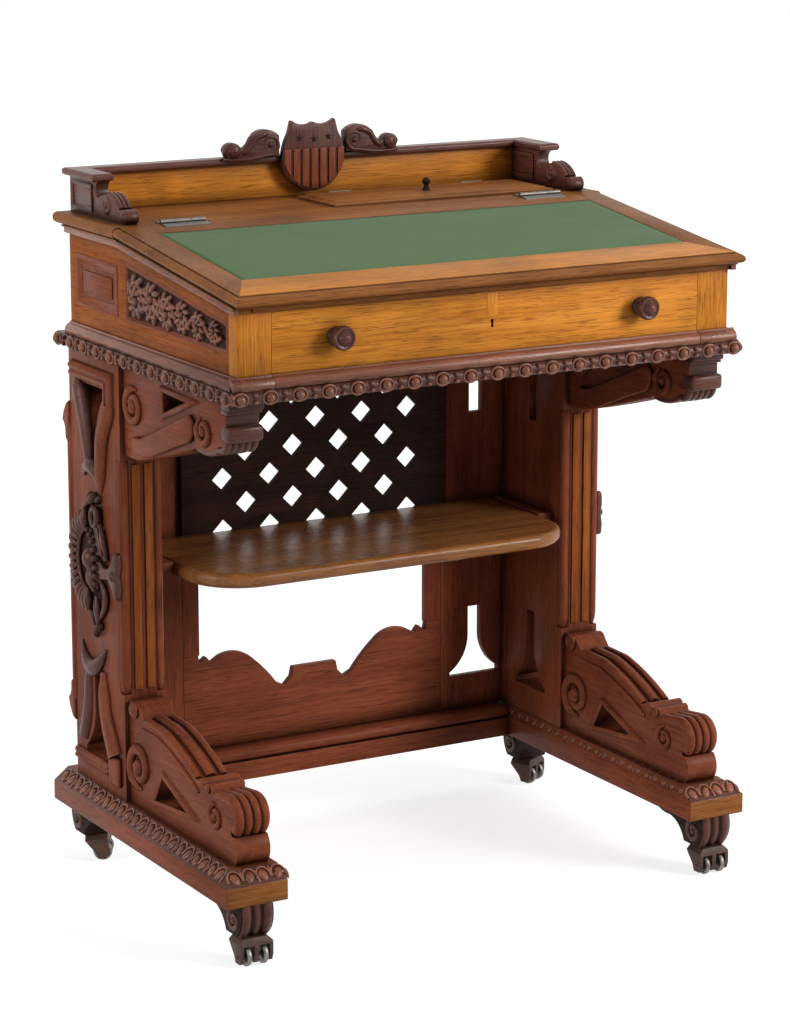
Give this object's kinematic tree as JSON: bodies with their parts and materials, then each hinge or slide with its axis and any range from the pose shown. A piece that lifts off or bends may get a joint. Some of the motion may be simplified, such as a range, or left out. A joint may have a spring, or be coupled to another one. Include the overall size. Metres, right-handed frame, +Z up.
{
  "type": "davenport desk",
  "caption": "Carved oak davenport desk on twin-wheel casters: pierced stand, hinged writing slope with baize, lidded pen tray, drawer with lock, shelf, gallery with crest.",
  "frame": {"origin": "on the floor, under the middle of the desk's box", "axes": "X to the right as seen by the sitter, Y to the back, Z up; the drawer faces -Y"},
  "size_m": [0.711, 0.485, 0.901],
  "materials": {
    "golden_oak": "waxed oak, golden, with open grain",
    "red_oak": "waxed oak, reddish brown, worn on the edges",
    "dark_oak": "stained oak, dark brown, carved",
    "black_oak": "stained oak, nearly black",
    "inner_pine": "plain unpolished board",
    "green_baize": "worn green baize",
    "hinge_steel": "dulled steel",
    "caster_iron": "cast iron, brown with age",
    "wheel_steel": "steel wheels, worn bright on the rim"
  },
  "bodies": {
    "desk": {"ledge": "golden_oak", "gallery_board": "golden_oak", "case_side_left": "golden_oak", "case_side_right": "golden_oak", "front_posts": "golden_oak", "front_rail": "golden_oak", "carved_panels": "golden_oak", "plain_panels": "golden_oak", "base_runner_left": "red_oak", "base_runner_right": "red_oak", "base_back_rail": "red_oak", "foot_blocks": "red_oak", "side_standard_left": "red_oak", "side_standard_right": "red_oak", "foot_console_left": "red_oak", "foot_console_right": "red_oak", "shelf": "red_oak", "shelf_cleats": "red_oak", "back_wings": "red_oak", "back_stiles": "red_oak", "apron_panel": "red_oak", "top_bracket_left": "dark_oak", "top_bracket_right": "dark_oak", "carved_frame": "dark_oak", "case_mouldings": "dark_oak", "gallery_cap": "dark_oak", "gallery_ends": "dark_oak", "crest_shield": "dark_oak", "crest_scrolls": "dark_oak", "cartouches": "dark_oak", "lattice_panel": "black_oak", "case_floor": "inner_pine", "case_back": "inner_pine", "drawer_guides": "inner_pine", "well_floor": "inner_pine", "well_back_rail": "inner_pine", "pen_tray": "inner_pine", "ledge_hinge_leaves": "hinge_steel"},
    "writing_slope": {"writing_slope": "golden_oak", "baize": "green_baize", "slope_hinge_leaves": "hinge_steel"},
    "pen_lid": {"pen_lid": "golden_oak", "pen_lid_knob": "black_oak", "pen_hinge_leaves": "hinge_steel"},
    "drawer": {"drawer_front": "golden_oak", "drawer_moulding": "dark_oak", "drawer_sides": "inner_pine", "drawer_back": "inner_pine", "drawer_bottom": "inner_pine", "drawer_knobs": "dark_oak", "drawer_lock": "hinge_steel"},
    "lock_bolt": {"lock_bolt": "hinge_steel"},
    "caster_front_left": {"caster_fork_front_left": "caster_iron"},
    "wheels_front_left": {"caster_wheels_front_left": "wheel_steel"},
    "caster_front_right": {"caster_fork_front_right": "caster_iron"},
    "wheels_front_right": {"caster_wheels_front_right": "wheel_steel"},
    "caster_rear_left": {"caster_fork_rear_left": "caster_iron"},
    "wheels_rear_left": {"caster_wheels_rear_left": "wheel_steel"},
    "caster_rear_right": {"caster_fork_rear_right": "caster_iron"},
    "wheels_rear_right": {"caster_wheels_rear_right": "wheel_steel"}
  },
  "joints": [
    {"name": "slope_hinge", "type": "hinge", "parent": "desk", "child": "writing_slope", "pos_m": [0, 0.0717, 0.8086], "axis": [-1, 0, 0], "range_deg": [0, 100]},
    {"name": "pen_lid_hinge", "type": "hinge", "parent": "desk", "child": "pen_lid", "pos_m": [0.1255, 0.1964, 0.8086], "axis": [-1, 0, 0], "range_deg": [0, 85]},
    {"name": "drawer_slide", "type": "slide", "parent": "desk", "child": "drawer", "axis": [0, -1, 0], "range_m": [0, 0.28]},
    {"name": "lock_throw", "type": "slide", "parent": "drawer", "child": "lock_bolt", "axis": [0, 0, 1], "range_m": [0, 0.006]},
    {"name": "caster_swivel_front_left", "type": "hinge", "parent": "desk", "child": "caster_front_left", "pos_m": [-0.3155, -0.214, 0.045], "axis": [0, 0, 1], "continuous": true},
    {"name": "wheel_spin_front_left", "type": "hinge", "parent": "caster_front_left", "child": "wheels_front_left", "pos_m": [-0.3155, -0.225, 0.012], "axis": [1, 0, 0], "continuous": true},
    {"name": "caster_swivel_front_right", "type": "hinge", "parent": "desk", "child": "caster_front_right", "pos_m": [0.3155, -0.214, 0.045], "axis": [0, 0, 1], "continuous": true},
    {"name": "wheel_spin_front_right", "type": "hinge", "parent": "caster_front_right", "child": "wheels_front_right", "pos_m": [0.3155, -0.225, 0.012], "axis": [1, 0, 0], "continuous": true},
    {"name": "caster_swivel_rear_left", "type": "hinge", "parent": "desk", "child": "caster_rear_left", "pos_m": [-0.3155, 0.2045, 0.045], "axis": [0, 0, 1], "continuous": true},
    {"name": "wheel_spin_rear_left", "type": "hinge", "parent": "caster_rear_left", "child": "wheels_rear_left", "pos_m": [-0.30597, 0.199, 0.012], "axis": [0.5, 0.866, 0], "continuous": true},
    {"name": "caster_swivel_rear_right", "type": "hinge", "parent": "desk", "child": "caster_rear_right", "pos_m": [0.3155, 0.2045, 0.045], "axis": [0, 0, 1], "continuous": true},
    {"name": "wheel_spin_rear_right", "type": "hinge", "parent": "caster_rear_right", "child": "wheels_rear_right", "pos_m": [0.321, 0.19497, 0.012], "axis": [0.866, 0.5, 0], "continuous": true}
  ]
}
